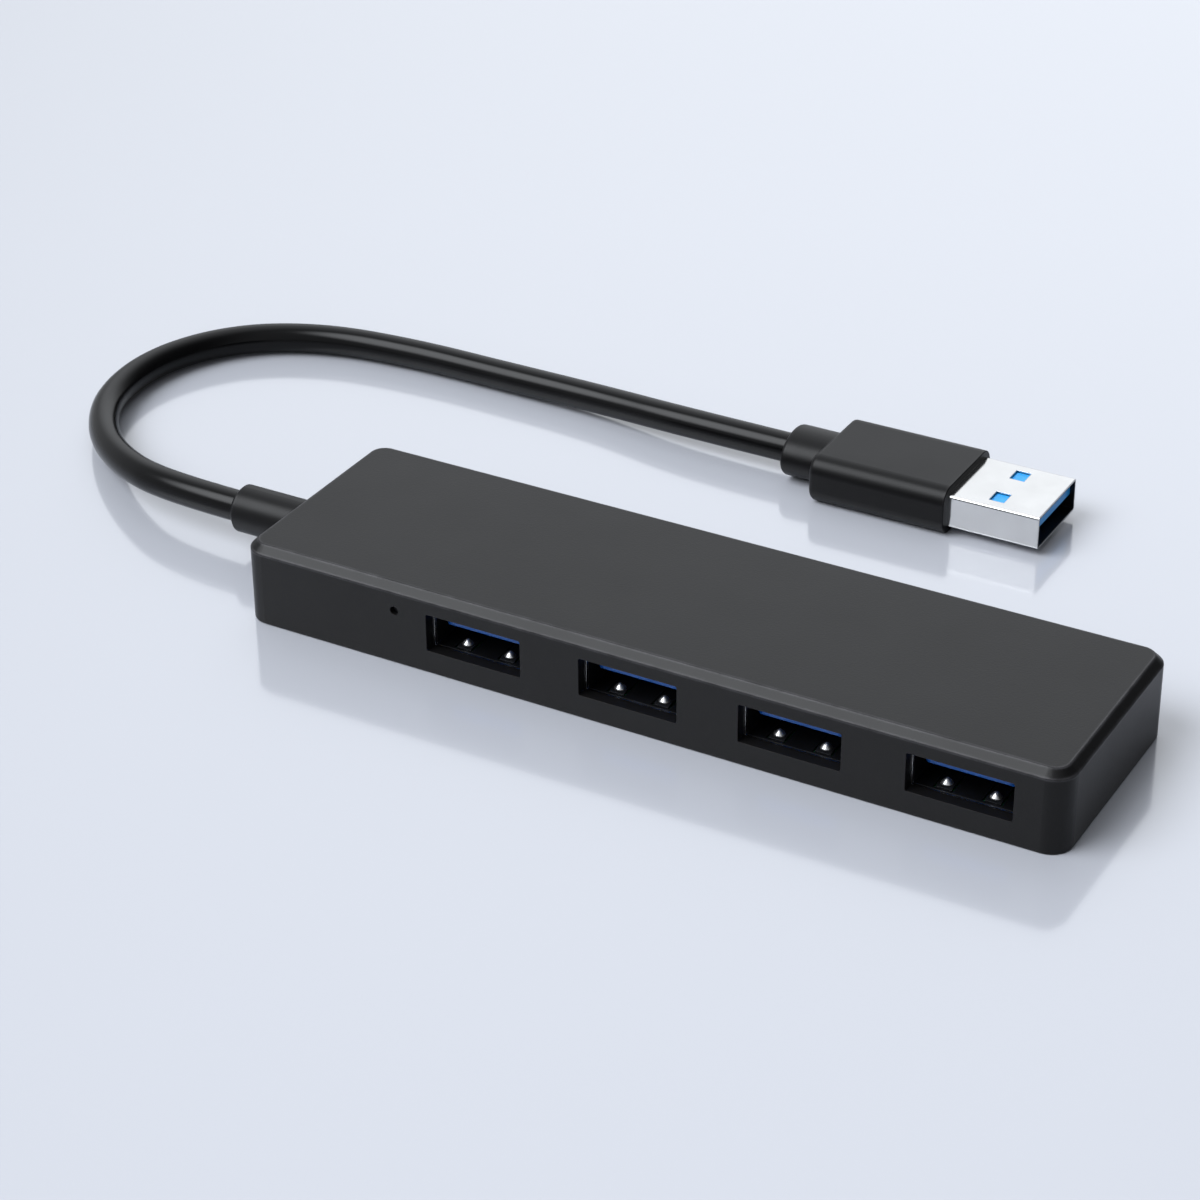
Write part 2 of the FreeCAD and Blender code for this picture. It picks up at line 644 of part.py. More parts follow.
def plug_contact(offset, width, front_x, bow):
    """One plug contact: along the tongue's underside and back to its tail inside the mould."""
    tail_length = 1.4
    tail_x = PLUG_SHELL_BACK_X - tail_length
    y = PLUG_Y + offset
    strip = block(tail_x, front_x, y - width / 2, y + width / 2, PLUG_Z - CONTACT_SHEET, PLUG_Z)
    if bow == 0:
        return strip
    length = 2.6
    start = Vector(front_x - length, y - width / 2, PLUG_Z - CONTACT_SHEET)
    end = start + X_AXIS * length
    crest = (start + end) * 0.5 - Z_AXIS * bow
    outline = [Part.Arc(start, crest, end), Part.LineSegment(end, start)]
    return strip.fuse(extruded_outline(outline, Y_AXIS * width))


def plug_contacts():
    """Four flat contacts that reach the mouth, and five raised ones behind them."""
    flat_front_x = PLUG_TONGUE_FRONT_X - 1.0
    raised_front_x = PLUG_TONGUE_BACK_X + 3.4
    bow = 0.4
    contacts = [plug_contact(offset, WIDE_WIDTH, flat_front_x, 0) for offset in WIDE_OFFSETS]
    contacts += [plug_contact(offset, NARROW_WIDTH, raised_front_x, bow) for offset in NARROW_OFFSETS]
    return Part.makeCompound(contacts)


def plug_insulator():
    """The blue moulding: a tongue against the shell's roof, and a header that fills the shell."""
    grow = -SHEET - PLUG_FIT
    full = plug_section(PLUG_SHELL_BACK_X, PLUG_TONGUE_FRONT_X, grow, PLUG_BEND - SHEET / 2)
    hollow = block(PLUG_TONGUE_BACK_X, PLUG_MOUTH_X, PLUG_Y - PLUG_WIDTH, PLUG_Y + PLUG_WIDTH, 0, PLUG_Z)
    return full.cut(hollow).cut(plug_contacts())


def plug_wires():
    """The conductors, fanned out from the jacket's end to the tails of the contacts."""
    first_lead, last_lead, gap_to_shell = 1.2, 1.8, 0.4
    level = PLUG_Z + WIRE_RADIUS
    wires = []
    for angle, spread in zip(WIRE_ANGLES, WIRE_SPREAD):
        start = wire_start(angle, JACKET_END_IN_PLUG_X, PLUG_Y, PLUG_Z)
        end = Vector(PLUG_SHELL_BACK_X - gap_to_shell, PLUG_Y + spread, level)
        points = [start, start + X_AXIS * first_lead, end - X_AXIS * last_lead, end]
        wires.append(tube(points, WIRE_RADIUS))
    return Part.makeCompound(wires)


def inner_mould_block():
    """The outside of the inner mould, before anything is let into it."""
    return plug_section(JACKET_END_IN_PLUG_X, PLUG_SHELL_BACK_X, 0, PLUG_BEND)


def plug_inner_mould():
    """The inner mould that holds the soldered ends."""
    return inner_mould_block().cut(plug_wires()).cut(plug_contacts())


def plug_neck():
    """The oval neck behind the grip, rounded where the cable leaves it."""
    middle = Vector(PLUG_NECK_X, PLUG_Y, PLUG_Z)
    side = middle + Y_AXIS * (PLUG_NECK_WIDTH / 2)
    top = middle + Z_AXIS * (PLUG_NECK_HEIGHT / 2)
    outline = Part.Wire(Part.Ellipse(side, top, middle).toShape())
    neck = Part.Face(outline).extrude(X_AXIS * (OVERMOULD_BACK_X + 1 - PLUG_NECK_X))
    return neck.makeFillet(PLUG_NECK_BEVEL, edges_at(neck, X_AXIS, PLUG_NECK_X))


def plug_overmould():
    """The black grip: a bar with rounded edges, and the neck that the cable leaves by."""
    half_width = OVERMOULD_WIDTH / 2
    grip = rounded_block(OVERMOULD_BACK_X, OVERMOULD_FRONT_X, PLUG_Y - half_width, PLUG_Y + half_width,
                         0, OVERMOULD_HEIGHT, X_AXIS, OVERMOULD_RADIUS)
    grip = grip.makeFillet(OVERMOULD_BACK_EDGE, edges_at(grip, X_AXIS, OVERMOULD_BACK_X))
    grip = grip.makeFillet(OVERMOULD_FRONT_EDGE, edges_at(grip, X_AXIS, OVERMOULD_FRONT_X))
    bore = rod(CABLE_RADIUS + CABLE_FIT, Vector(PLUG_NECK_X - 1, PLUG_Y, PLUG_Z),
               Vector(JACKET_END_IN_PLUG_X, PLUG_Y, PLUG_Z))
    pocket = plug_section(PLUG_SHELL_BACK_X, OVERMOULD_FRONT_X + 1, 0, PLUG_BEND)
    return fused([grip, plug_neck()]).cut([bore, pocket, inner_mould_block()])


# ---- All nodes ---------------------------------------------------------------------------

def all_nodes():
    """Every sub-part by its node name."""
    nodes = {
        "top_cover": top_cover(),
        "bottom_cover": bottom_cover(),
        "circuit_board": circuit_board(),
        "hub_controller": hub_controller(),
        "crystal": crystal(),
        "voltage_regulator": voltage_regulator(),
        "power_inductor": power_inductor(),
        "capacitors": capacitors(),
        "resistors": resistors(),
        "status_led": status_led(),
        "light_pipe": light_pipe(),
        "cable": cable(),
        "cable_strain_relief": cable_strain_relief(),
        "hub_wires": hub_wires(),
        "solder_joints": solder_joints(),
        "plug_overmould": plug_overmould(),
        "plug_inner_mould": plug_inner_mould(),
        "plug_wires": plug_wires(),
        "plug_shell": plug_shell(),
        "plug_insulator": plug_insulator(),
        "plug_contacts": plug_contacts(),
    }
    for number, x in enumerate(PORT_XS, start=1):
        nodes["port_%d_shell" % number] = port_shell(x)
        nodes["port_%d_insulator" % number] = port_insulator(x)
        nodes["port_%d_contacts" % number] = port_contacts(x)
    return nodes


def print_cable_facts(solid):
    """The arc radii in diameters, and the cable's volume against section times length."""
    points = cable_points()
    diameter = 2 * CABLE_RADIUS
    print("cable arc radii, diameters:", [round(radius / diameter, 1) for radius in corner_radii(points)])
    length = rounded_path(points).Length
    free = length - (JACKET_END_IN_HUB_X - CABLE_ROUTE[0][0]) - (JACKET_END_IN_PLUG_X - CABLE_ROUTE[-1][0])
    section = math.pi * CABLE_RADIUS ** 2
    print("cable length %.1f, free %.1f, volume ratio %.5f" % (length, free, solid.Volume / (section * length)))


def main():
    os.makedirs("parts", exist_ok=True)
    nodes = all_nodes()
    for name, shape in nodes.items():
        shape.exportStep("parts/%s.step" % name)
        print("%-22s solids %2d  valid %s  volume %.2f" % (name, len(shape.Solids), shape.isValid(), shape.Volume))
    print_cable_facts(nodes["cable"])


main()
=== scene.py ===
import json
import math

import bmesh
import bpy
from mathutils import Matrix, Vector


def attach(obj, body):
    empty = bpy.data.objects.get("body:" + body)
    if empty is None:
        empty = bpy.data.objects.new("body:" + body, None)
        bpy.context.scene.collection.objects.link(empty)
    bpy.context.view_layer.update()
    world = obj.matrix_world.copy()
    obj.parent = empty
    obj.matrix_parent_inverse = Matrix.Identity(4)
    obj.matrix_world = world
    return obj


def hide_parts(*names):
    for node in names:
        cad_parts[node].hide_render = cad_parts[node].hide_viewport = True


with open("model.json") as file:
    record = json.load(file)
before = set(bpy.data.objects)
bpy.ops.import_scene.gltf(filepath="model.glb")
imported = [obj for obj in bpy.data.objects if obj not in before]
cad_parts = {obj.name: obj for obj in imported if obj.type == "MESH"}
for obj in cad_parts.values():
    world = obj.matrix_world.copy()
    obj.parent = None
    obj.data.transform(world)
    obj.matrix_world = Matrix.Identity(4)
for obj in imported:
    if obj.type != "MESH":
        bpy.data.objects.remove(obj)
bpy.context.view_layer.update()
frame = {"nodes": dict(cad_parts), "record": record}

# A slim USB hub with a captive cable.  Lengths are in metres, in the frame of the CAD model:
# +X along the housing, ports facing -Y, +Z up, and the floor at z = 0.
MM = 0.001
BODY = "root"
NODES = frame["nodes"]

# The view: a long lens above and to the right of the port side.  Angles are in degrees.
CAMERA_PLACE = (150.9 * MM, -285.2 * MM, 198.1 * MM)
CAMERA_TURN = (59.73, 0.49, 29.49)
LENS = 96.72
SENSOR = 36.0

# The light.  A direction points towards its patch of sky.  The two angles, in degrees, are where
# the patch begins to fade and where it ends.  The amounts are radiance, but the dark one is the
# share of the even light and the back light that it takes away.
LIGHT_COLOUR = (0.93, 0.96, 1.0, 1.0)
EVEN_LIGHT = 0.48
KEY_DIRECTION = (-0.43, -0.48, 0.76)
KEY_ANGLES = (11, 28)
KEY_LIGHT = 7.0
BACK_DIRECTION = (-0.10, 0.70, 0.71)
BACK_ANGLES = (16, 52)
BACK_LIGHT = 0.98
DARK_DIRECTION = (0.79, 0.47, 0.37)
DARK_ANGLES = (25, 70)
DARK_AMOUNT = 0.9

# The floor.
FLOOR_HALF_SIZE = 2.0
FLOOR_COLOUR = (0.555, 0.573, 0.628, 1.0)

# The cable.  The route's control points are in millimetres and are those of the CAD model.
CABLE_DIAMETER = 4.0 * MM
CABLE_ROUTE = [
    (-63.4, 0.0, 5.4),
    (-75.1, 0.0, 5.4),
    (-85.6, 4.4, 4.1),
    (-95.0, 12.0, 2.7),
    (-101.5, 22.2, 2.1),
    (-102.4, 34.4, 2.1),
    (-96.6, 45.4, 2.1),
    (-85.9, 51.5, 2.1),
    (-72.0, 53.2, 2.1),
    (-57.3, 53.1, 2.1),
    (-42.3, 52.7, 2.35),
    (-27.0, 50.7, 3.25),
    (-11.5, 50.7, 3.25),
]

# Ports and plug, as in the CAD model.
PORT_PITCH = 20.45 * MM
FIRST_PORT_X = -20.75 * MM
PORT_COUNT = 4
PORT_XS = [FIRST_PORT_X + PORT_PITCH * number for number in range(PORT_COUNT)]
SHELL_FRONT_Y = -13.3 * MM
SPRING_CREST_Y = -11.35 * MM
SPRING_X = 2.9 * MM
PLUG_Y = 50.7 * MM
PLUG_Z = 3.25 * MM
PLUG_WIDTH = 12.0 * MM
PLUG_HEIGHT = 4.5 * MM
OVERMOULD_END_X = 12.5 * MM

# Dimples: a roundness of 1 gives a pointed cone, and 2 a round dome.
DIMPLE_RADIUS = 0.75 * MM
DIMPLE_HEIGHT = 0.72 * MM
DIMPLE_ROUNDNESS = 1.6
DIMPLE_FOOT_Z = 3.05 * MM
DIMPLE_RINGS = 8
DIMPLE_SIDES = 24

# Finishes.  A pair of tones is the darker and the lighter one.
HOUSING_TONES = ((0.0058, 0.0056, 0.0058, 1), (0.0072, 0.0070, 0.0073, 1))
# Painted highlight and wear: the housing's lighter edge tone stands partly for rubbing and partly
# for the highlight along the top edges.
HOUSING_WEAR_AND_HIGHLIGHT_TONE = (0.085, 0.083, 0.090, 1)
HOUSING_WEAR_AND_HIGHLIGHT_ABOVE = 9.4 * MM
OVERMOULD_TONES = ((0.0045, 0.0044, 0.0047, 1), (0.0058, 0.0057, 0.0061, 1))
OVERMOULD_WORN_TONE = (0.020, 0.020, 0.021, 1)
OVERMOULD_WORN_ABOVE = 5.0 * MM
CABLE_TONES = ((0.0028, 0.0028, 0.0030, 1), (0.0040, 0.0040, 0.0043, 1))
# Painted shade: the ports' blue is a darker copy of the plug's blue, for the shade inside the
# ports.
PORT_BLUES_PAINTED_SHADE = ((0.010, 0.11, 0.46, 1), (0.014, 0.14, 0.58, 1))
PLUG_BLUES = ((0.012, 0.36, 0.93, 1), (0.018, 0.41, 0.98, 1))
BOARD_GREENS = ((0.010, 0.075, 0.030, 1), (0.020, 0.135, 0.055, 1))
SMOKE_TONES = ((0.030, 0.032, 0.036, 1), (0.055, 0.058, 0.064, 1))
# Painted shade: the dark tone painted inside the port and plug shells.
INSIDE_PAINTED_SHADE_TONE = (0.035, 0.036, 0.040, 1.0)
# Painted shade: the near black painted on the end face of the plug's overmould.
PAINTED_SHADE_BLACK = (0.0015, 0.0015, 0.0016, 1.0)
MOULDED_EDGE_RADIUS = 0.12 * MM
# Edge rubbing: partly wear, partly a painted edge highlight.
EDGE_WEAR_AND_HIGHLIGHT_WIDTH = 0.5 * MM
EDGE_WEAR_AND_HIGHLIGHT_FADE = 0.3 * MM
EDGE_WEAR_AND_HIGHLIGHT_SHARE = 0.8
BOARD_TRACK_SCALE = 260.0
BOARD_TRACK_BEND = 6.0


# ---- Camera, light and floor -------------------------------------------------------------

def add_object(name, data):
    """A new object in the scene."""
    thing = bpy.data.objects.new(name, data)
    bpy.context.scene.collection.objects.link(thing)
    return thing


def make_camera():
    data = bpy.data.cameras.new("camera")
    data.lens = LENS
    data.sensor_width = SENSOR
    camera = add_object("camera", data)
    camera.location = CAMERA_PLACE
    camera.rotation_euler = [math.radians(angle) for angle in CAMERA_TURN]
    bpy.context.scene.camera = camera


def make_world():
    """Studio surroundings: even pale light, a soft box above the left front, a wide one behind,
    and a dark panel at the right and behind."""
    world = bpy.data.worlds.new("studio")
    world.use_nodes = True
    tree = world.node_tree
    sky = Sky(tree)
    key = sky.patch(KEY_DIRECTION, KEY_ANGLES, KEY_LIGHT)
    back = sky.patch(BACK_DIRECTION, BACK_ANGLES, BACK_LIGHT)
    surround = sky.combine("ADD", back, EVEN_LIGHT)
    dark = sky.patch(DARK_DIRECTION, DARK_ANGLES, -DARK_AMOUNT)
    open_share = sky.combine("ADD", dark, 1.0)
    strength = sky.combine("ADD", key, sky.combine("MULTIPLY", surround, open_share))
    background = tree.nodes["Background"]
    background.inputs["Color"].default_value = LIGHT_COLOUR
    tree.links.new(strength, background.inputs["Strength"])
    bpy.context.scene.world = world
    bpy.context.scene.view_settings.view_transform = "Standard"


class Sky:
    """Short calls for a world whose light depends on the direction."""

    def __init__(self, tree):
        self.tree = tree
        self.direction = tree.nodes.new("ShaderNodeTexCoord").outputs["Generated"]

    def combine(self, operation, first, second):
        """Adds or multiplies an output and another output or a plain number."""
        node = self.tree.nodes.new("ShaderNodeMath")
        node.operation = operation
        self.tree.links.new(first, node.inputs[0])
        if isinstance(second, bpy.types.NodeSocket):
            self.tree.links.new(second, node.inputs[1])
        else:
            node.inputs[1].default_value = second
        return node.outputs["Value"]

    def patch(self, towards, angles, amount):
        """A round soft box: full within the first angle of its direction, gone by the second."""
        product = self.tree.nodes.new("ShaderNodeVectorMath")
        product.operation = "DOT_PRODUCT"
        self.tree.links.new(self.direction, product.inputs[0])
        product.inputs[1].default_value = Vector(towards).normalized()
        fade = self.tree.nodes.new("ShaderNodeMapRange")
        fade.interpolation_type = "SMOOTHSTEP"
        self.tree.links.new(product.outputs["Value"], fade.inputs["Value"])
        inner, outer = angles
        fade.inputs["From Min"].default_value = math.cos(math.radians(outer))
        fade.inputs["From Max"].default_value = math.cos(math.radians(inner))
        fade.inputs["To Max"].default_value = amount
        return fade.outputs["Result"]


def make_floor():
    """A plain pale floor with a soft sheen."""
    half = FLOOR_HALF_SIZE
    mesh = bpy.data.meshes.new("floor")
    corners = [(-half, -half, 0), (half, -half, 0), (half, half, 0), (-half, half, 0)]
    mesh.from_pydata(corners, [], [(0, 1, 2, 3)])
    floor = add_object("floor", mesh)
    material = Material("floor")
    material.set("Base Color", FLOOR_COLOUR)
    material.set("Roughness", 0.14)
    material.set("Specular IOR Level", 0.5)
    material.set("Coat Weight", 0.9)
    material.set("Coat Roughness", 0.10)
    material.set("Coat IOR", 1.6)
    mesh.materials.append(material.data)


# ---- Materials ---------------------------------------------------------------------------

class Material:
    """A Principled material and short calls that add the nodes it is made of."""

    def __init__(self, name):
        self.data = bpy.data.materials.new(name)
        self.data.use_nodes = True
        self.tree = self.data.node_tree
        self.shader = self.tree.nodes["Principled BSDF"]
        self.place = self.add("ShaderNodeTexCoord").outputs["Object"]

    def add(self, kind, **settings):
        node = self.tree.nodes.new(kind)
        for name, value in settings.items():
            setattr(node, name, value)
        return node

    def feed(self, socket, value):
        """Joins a socket to another node's output, or sets it to a plain value."""
        if isinstance(value, bpy.types.NodeSocket):
            self.tree.links.new(value, socket)
        else:
            socket.default_value = value

    def set(self, socket, value):
        self.feed(self.shader.inputs[socket], value)

    def scaled_place(self, stretch):
        """Object coordinates, scaled along each axis."""
        node = self.add("ShaderNodeMapping")
        self.feed(node.inputs["Vector"], self.place)
        node.inputs["Scale"].default_value = stretch
        return node.outputs["Vector"]

    def noise(self, grain, detail=2.0, stretch=None):
        """Cloudy noise between 0 and 1 whose features are about grain metres across."""
        node = self.add("ShaderNodeTexNoise")
        place = self.place if stretch is None else self.scaled_place(stretch)
        self.feed(node.inputs["Vector"], place)
        node.inputs["Scale"].default_value = 1.0 / grain
        node.inputs["Detail"].default_value = detail
        return node.outputs["Fac"]

    def spots(self, grain):
        """Cells about grain metres apart; 0 at each cell's middle."""
        node = self.add("ShaderNodeTexVoronoi")
        self.feed(node.inputs["Vector"], self.place)
        node.inputs["Scale"].default_value = 1.0 / grain
        return node.outputs["Distance"]

    def math(self, operation, first, second=0.0):
        node = self.add("ShaderNodeMath", operation=operation)
        self.feed(node.inputs[0], first)
        self.feed(node.inputs[1], second)
        return node.outputs["Value"]

    def range(self, value, low, high, to_low=0.0, to_high=1.0):
        """Maps a value's range to another, clamped."""
        node = self.add("ShaderNodeMapRange", clamp=True)
        for name, given in (("Value", value), ("From Min", low), ("From Max", high),
                            ("To Min", to_low), ("To Max", to_high)):
            self.feed(node.inputs[name], given)
        return node.outputs["Result"]

    def spread(self, noise, to_low=0.0, to_high=1.0):
        """Maps noise, which seldom leaves 0.3 to 0.7, to a range."""
        return self.range(noise, 0.3, 0.7, to_low, to_high)

    def mix(self, factor, first, second):
        """Blends two colours."""
        node = self.add("ShaderNodeMix", data_type="RGBA")
        self.feed(node.inputs["Factor"], factor)
        self.feed(node.inputs[6], first)
        self.feed(node.inputs[7], second)
        return node.outputs[2]

    def rounded(self, radius):
        """The surface's normal as if every edge had a small radius."""
        bevel = self.add("ShaderNodeBevel", samples=6)
        bevel.inputs["Radius"].default_value = radius
        return bevel.outputs["Normal"]

    def edges(self, radius):
        """1 on edges sharper than a radius in metres, 0 on flat faces.

        It compares the true normal with the rounded one: their product is 1 where they agree."""
        flat, sharp = 0.9985, 0.985
        geometry = self.add("ShaderNodeNewGeometry")
        product = self.add("ShaderNodeVectorMath", operation="DOT_PRODUCT")
        self.feed(product.inputs[0], self.rounded(radius))
        self.feed(product.inputs[1], geometry.outputs["Normal"])
        return self.range(product.outputs["Value"], flat, sharp)

    def bump(self, layers, normal=None):
        """Adds height layers, each (value, depth in metres), to the surface."""
        for value, depth in layers:
            node = self.add("ShaderNodeBump")
            node.inputs["Strength"].default_value = 1.0
            node.inputs["Distance"].default_value = depth
            self.feed(node.inputs["Height"], value)
            if normal is not None:
                self.feed(node.inputs["Normal"], normal)
            normal = node.outputs["Normal"]
        self.set("Normal", normal)

    def axis(self, name):
        """One of the object coordinates."""
        node = self.add("ShaderNodeSeparateXYZ")
        self.feed(node.inputs["Vector"], self.place)
        return node.outputs[name]

    def within(self, name, centre, half, soft=0.03 * MM):
        """1 where a coordinate is within half of a centre, 0 elsewhere."""
        gap = self.math("ABSOLUTE", self.math("SUBTRACT", self.axis(name), centre))
        return self.range(gap, half + soft, half - soft)


def moulded_plastic(name, tones, rough, grain, depth, wear_and_highlight_tone, wear_and_highlight_above, painted_shade_face=None):
    """Black moulded plastic: spark-eroded texture, cloudy tone, faint rubbing along high edges,
    which is lightened partly as wear and partly as a painted edge highlight.

    The grain and its depth are those of the texture, in metres.  Rubbing and its painted highlight
    are full above the given height.  The last argument marks a face painted deep black as painted
    shade."""
    material = Material(name)
    cloud = material.noise(22 * MM, 3.0)
    fine = material.noise(grain, 2.0)
    edge = material.edges(EDGE_WEAR_AND_HIGHLIGHT_WIDTH)
    upper = material.range(material.axis("Z"), wear_and_highlight_above - EDGE_WEAR_AND_HIGHLIGHT_FADE, wear_and_highlight_above)
    patchy = material.range(material.noise(3.0 * MM, 3.0), 0.20, 0.60)
    rubbed_and_highlit = material.math("MULTIPLY", material.math("MULTIPLY", edge, upper), patchy)
    tone = material.mix(material.spread(cloud), *tones)
    # Painted highlight and wear: the rubbed edges are lightened towards a paler tone.
    tone = material.mix(material.math("MULTIPLY", rubbed_and_highlit, EDGE_WEAR_AND_HIGHLIGHT_SHARE), tone, wear_and_highlight_tone)
    # Painted shade: the marked face is painted deep black.
    if painted_shade_face is not None:
        tone = material.mix(painted_shade_face(material), tone, PAINTED_SHADE_BLACK)
    material.set("Base Color", tone)
    low, high = rough
    smudged = material.spread(material.noise(9 * MM, 4.0), low, high)
    polish = material.math("MULTIPLY", rubbed_and_highlit, 0.06)
    material.set("Roughness", material.math("SUBTRACT", smudged, polish))
    pits = material.spots(grain * 1.7)
    material.bump([(fine, depth), (pits, depth * 0.6)], material.rounded(MOULDED_EDGE_RADIUS))
    return material


def housing_plastic():
    material = moulded_plastic("housing_plastic", HOUSING_TONES, (0.33, 0.36), 0.16 * MM,
                               0.008 * MM, HOUSING_WEAR_AND_HIGHLIGHT_TONE, HOUSING_WEAR_AND_HIGHLIGHT_ABOVE)
    material.set("Specular IOR Level", 0.22)
    return material.data


def overmould_plastic():
    material = moulded_plastic("overmould_plastic", OVERMOULD_TONES, (0.34, 0.38), 0.12 * MM,
                               0.005 * MM, OVERMOULD_WORN_TONE, OVERMOULD_WORN_ABOVE, overmould_end_painted_shade)
    material.set("Specular IOR Level", 0.20)
    return material.data


def overmould_end_painted_shade(material):
    """The end face of the plug's overmould, round the foot of the shell, painted deep black as
    painted shade.
    """
    return material.within("X", OVERMOULD_END_X, 0.05 * MM, 0.02 * MM)


def cable_jacket():
    """Smooth extruded PVC: a soft gloss with faint unevenness."""
    material = Material("cable_jacket")
    cloud = material.noise(8 * MM, 3.0)
    material.set("Base Color", material.mix(material.spread(cloud), *CABLE_TONES))
    material.set("Roughness", material.spread(material.noise(5 * MM, 4.0), 0.17, 0.21))
    material.set("Specular IOR Level", 0.20)
    waves = material.noise(2.5 * MM, 2.0)
    skin = material.noise(0.10 * MM, 1.0)
    material.bump([(waves, 0.006 * MM), (skin, 0.001 * MM)])
    return material.data


def plated_metal(name, colour, rough, brush, fold=0.08 * MM, painted_shade_mask=None):
    """Bright plated sheet with fine drawn lines and a few soft marks.

    brush stretches the lines, fold is the radius of the edges, and the last argument marks the
    insides, which get a duller finish and a dark tone painted as painted shade."""
    material = Material(name)
    lines = material.noise(0.05 * MM, 2.0, brush)
    cloud = material.noise(4 * MM, 4.0)
    dull = tuple(part * 0.93 for part in colour)
    tone = material.mix(material.range(cloud, 0.35, 0.7), colour + (1,), dull + (1,))
    low, high = rough
    sheen = material.math("ADD", material.spread(cloud, low, high),
                          material.range(lines, 0.4, 0.7, 0.0, 0.05))
    # Painted shade: the insides are painted a dark tone that stands in for the shade in the hollow.
    if painted_shade_mask is not None:
        inside = painted_shade_mask(material)
        tone = material.mix(inside, tone, INSIDE_PAINTED_SHADE_TONE)
        sheen = material.math("ADD", sheen, material.math("MULTIPLY", inside, 0.3))
    material.set("Base Color", tone)
    material.set("Metallic", 1.0)
    material.set("Roughness", sheen)
    material.bump([(lines, 0.0004 * MM)], material.rounded(fold))
    return material.data


def plug_hollow_painted_shade(material):
    """The hollow of the plug's shell, painted dark as painted shade."""
    skin = 0.20 * MM
    across = material.within("Y", PLUG_Y, PLUG_WIDTH / 2 - skin)
    upright = material.within("Z", PLUG_Z, PLUG_HEIGHT / 2 - skin)
    return material.math("MULTIPLY", across, upright)


def port_depth_painted_shade(material):
    """All of a receptacle's shell behind its front rim, painted dark as painted shade."""
    rim = 0.25 * MM
    return material.range(material.axis("Y"), SHELL_FRONT_Y + rim, SHELL_FRONT_Y + 2 * rim)


def blue_plastic(name, tones):
    """Blue connector moulding: a soft gloss and a fine grain."""
    material = Material(name)
    cloud = material.noise(3 * MM, 3.0)
    material.set("Base Color", material.mix(material.spread(cloud), *tones))
    material.set("Roughness", material.spread(material.noise(0.8 * MM, 3.0), 0.28, 0.42))
    material.bump([(material.noise(0.12 * MM, 2.0), 0.003 * MM)], material.rounded(0.1 * MM))
    return material.data


def plain_moulding(name, colour, rough, grain):
    """A moulded or fired part with a little unevenness in tone, gloss and surface."""
    material = Material(name)
    cloud = material.noise(2.5 * MM, 3.0)
    darker = tuple(part * 0.75 for part in colour)
    tone = material.mix(material.spread(cloud), colour + (1,), darker + (1,))
    material.set("Base Color", tone)
    smudge = material.noise(0.9 * MM, 3.0)
    material.set("Roughness", material.spread(smudge, rough, rough + 0.12))
    material.bump([(material.noise(grain, 2.0), 0.004 * MM)])
    return material.data


def circuit_board_finish():
    """Green solder mask over copper tracks that stand up a little."""
    material = Material("circuit_board_finish")
    wave = material.add("ShaderNodeTexWave", wave_type="BANDS", bands_direction="DIAGONAL")
    material.feed(wave.inputs["Vector"], material.place)
    wave.inputs["Scale"].default_value = BOARD_TRACK_SCALE
    wave.inputs["Distortion"].default_value = BOARD_TRACK_BEND
    tracks = material.range(wave.outputs["Fac"], 0.45, 0.55)
    material.set("Base Color", material.mix(tracks, *BOARD_GREENS))
    material.set("Roughness", material.spread(material.noise(1.5 * MM, 3.0), 0.25, 0.38))
    material.bump([(tracks, 0.02 * MM)])
    return material.data


def smoked_plastic():
    """Smoke-tinted acrylic for the light pipe, dark while the light is off."""
    material = Material("smoked_plastic")
    cloud = material.noise(0.6 * MM, 3.0)
    material.set("Base Color", material.mix(cloud, *SMOKE_TONES))
    material.set("Transmission Weight", 0.6)
    material.set("Roughness", material.spread(cloud, 0.2, 0.35))
    material.bump([(material.noise(0.3 * MM, 2.0), 0.004 * MM)])
    return material.data


def all_finishes():
    """Every material by the record's slot."""
    return {
        "housing": housing_plastic(),
        "overmould": overmould_plastic(),
        "cable_jacket": cable_jacket(),
        "plug_metal": plated_metal("plug_nickel", (0.665, 0.665, 0.66), (0.10, 0.15),
                                   (0.04, 1.0, 1.0), 0.12 * MM, plug_hollow_painted_shade),
        "port_metal": plated_metal("port_nickel", (0.72, 0.72, 0.72), (0.18, 0.28),
                                   (1.0, 0.05, 1.0), 0.08 * MM, port_depth_painted_shade),
        "blue_plastic": blue_plastic("port_blue_painted_shade", PORT_BLUES_PAINTED_SHADE),
        "contact": plated_metal("contact_gold", (0.72, 0.52, 0.22), (0.18, 0.28), (1.0, 1.0, 1.0)),
        "board": circuit_board_finish(),
        "chip": plain_moulding("chip_epoxy", (0.022, 0.022, 0.024), 0.45, 0.08 * MM),
        "tin": plated_metal("tinned", (0.62, 0.62, 0.61), (0.25, 0.4), (1.0, 1.0, 1.0)),
        "ferrite": plain_moulding("ferrite", (0.06, 0.06, 0.065), 0.6, 0.1 * MM),
        "capacitor": plain_moulding("capacitor_ceramic", (0.33, 0.20, 0.10), 0.35, 0.1 * MM),
        "led": plain_moulding("led_moulding", (0.75, 0.75, 0.62), 0.25, 0.1 * MM),
        "clear_pipe": smoked_plastic(),
        "inner_mould": plain_moulding("inner_mould", (0.62, 0.61, 0.56), 0.45, 0.15 * MM),
        "wire_insulation": plain_moulding("wire_insulation", (0.50, 0.05, 0.04), 0.35, 0.1 * MM),
    }


def finish_nodes(finishes):
    """Gives each CAD node its material: by its slot, but the ports' blue is a darker copy, painted
    shade for the recess, and the plug keeps the lighter blue.
    """
    for part in frame["record"]["subparts"]:
        mesh = NODES[part["node"]].data
        mesh.materials.clear()
        mesh.materials.append(finishes[part["material_slot"]])
    NODES["plug_insulator"].data.materials[0] = blue_plastic("plug_blue", PLUG_BLUES)


# ---- Spring dimples ----------------------------------------------------------------------

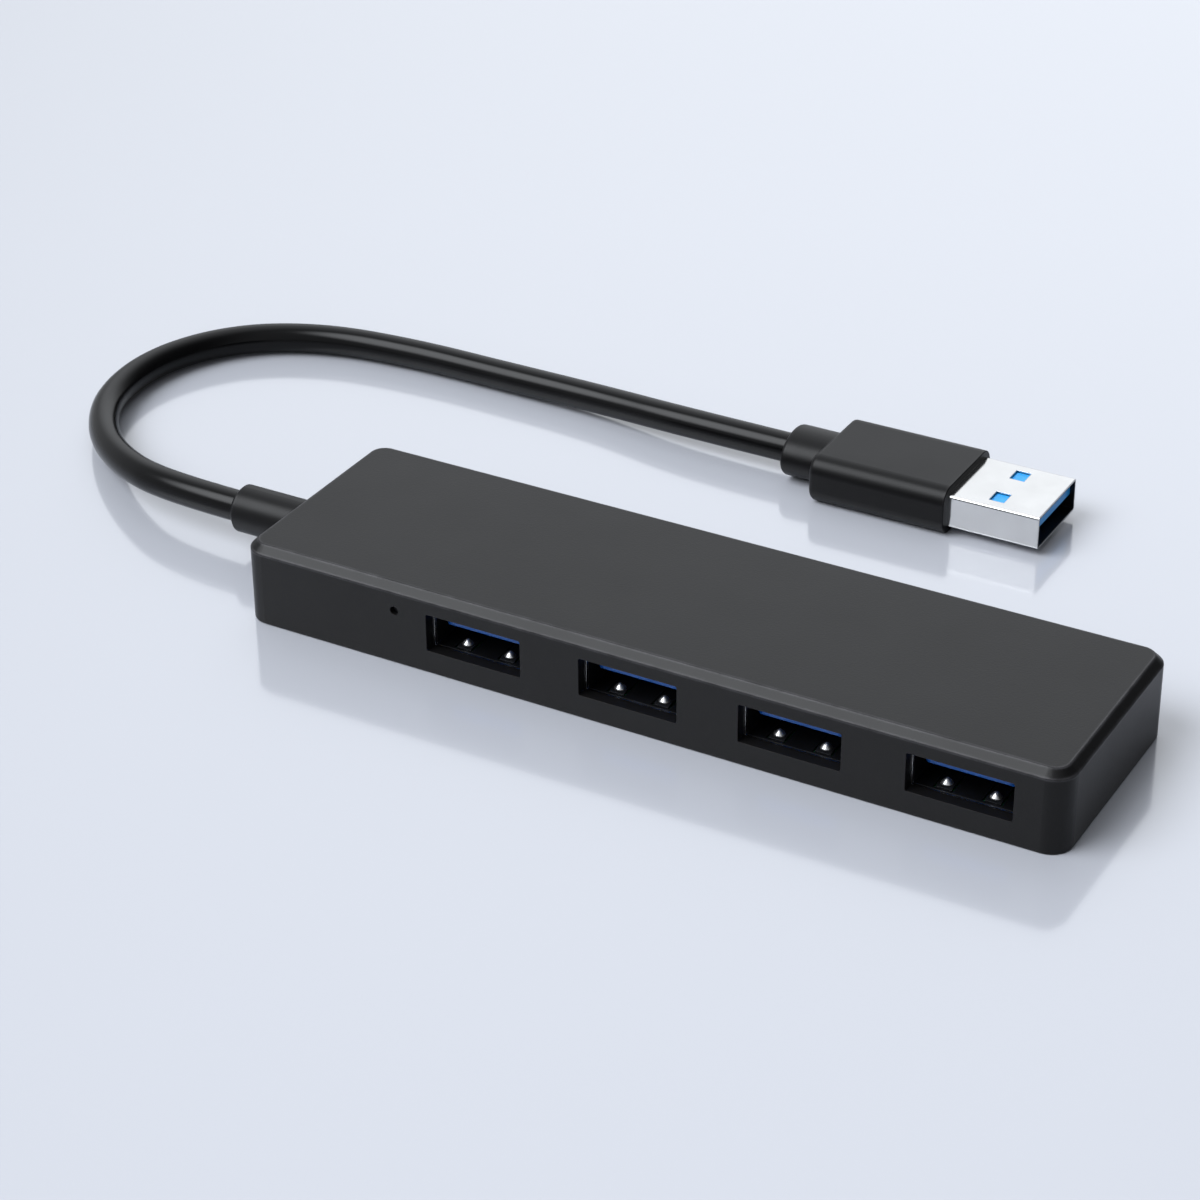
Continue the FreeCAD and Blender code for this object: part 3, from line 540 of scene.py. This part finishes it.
def dome(radius, height):
    """A small pressed dimple: a cone with a rounded tip, its foot at z = 0."""
    mesh = bmesh.new()
    turns = [2 * math.pi * number / DIMPLE_SIDES for number in range(DIMPLE_SIDES)]
    foot = ring_of(mesh, radius, turns, 0.0)
    mesh.faces.new(list(reversed(foot)))
    lower = foot
    for step in range(1, DIMPLE_RINGS):
        share = 1.0 - step / DIMPLE_RINGS
        level = height * (1.0 - share ** DIMPLE_ROUNDNESS)
        upper = ring_of(mesh, radius * share, turns, level)
        for number in range(DIMPLE_SIDES):
            following = (number + 1) % DIMPLE_SIDES
            mesh.faces.new([lower[number], lower[following], upper[following], upper[number]])
        lower = upper
    tip = mesh.verts.new((0, 0, height))
    for number in range(DIMPLE_SIDES):
        mesh.faces.new([lower[number], lower[(number + 1) % DIMPLE_SIDES], tip])
    for face in mesh.faces:
        face.smooth = len(face.verts) <= 4
    return mesh


def ring_of(mesh, radius, turns, level):
    """A ring of new vertices at one level."""
    return [mesh.verts.new((radius * math.cos(turn), radius * math.sin(turn), level))
            for turn in turns]


def make_dimples(material):
    """The polished dimples on the lower spring fingers of each port."""
    for number, port_x in enumerate(PORT_XS, start=1):
        for side, side_name in ((-1, "left"), (1, "right")):
            place = (port_x + side * SPRING_X, SPRING_CREST_Y, DIMPLE_FOOT_Z)
            mesh = dome(DIMPLE_RADIUS, DIMPLE_HEIGHT)
            bmesh.ops.translate(mesh, verts=mesh.verts, vec=place)
            data = bpy.data.meshes.new("port_%d_dimple" % number)
            mesh.to_mesh(data)
            mesh.free()
            data.materials.append(material)
            piece = add_object("port_%d_dimple_%s" % (number, side_name), data)
            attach(piece, BODY)


# ---- Cable -------------------------------------------------------------------------------

def make_cable(material):
    """The free cable: one smooth spline through the route's control points."""
    curve = bpy.data.curves.new("cable_line", "CURVE")
    curve.dimensions = "3D"
    curve.bevel_depth = CABLE_DIAMETER / 2
    curve.bevel_resolution = 8
    curve.resolution_u = 24
    curve.use_fill_caps = True
    spline = curve.splines.new("NURBS")
    spline.points.add(len(CABLE_ROUTE) - 1)
    for point, place in zip(spline.points, CABLE_ROUTE):
        point.co = tuple(part * MM for part in place) + (1.0,)
    spline.order_u = 3
    spline.use_endpoint_u = True
    cable = add_object("cable_free", curve)
    curve.materials.append(material)
    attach(cable, BODY)
    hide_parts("cable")


# ---- Build -------------------------------------------------------------------------------

make_camera()
finishes = all_finishes()
finish_nodes(finishes)
make_cable(finishes["cable_jacket"])
make_dimples(plated_metal("dimple_nickel", (0.97, 0.97, 0.97), (0.30, 0.36), (1.0, 1.0, 1.0)))
make_world()
make_floor()
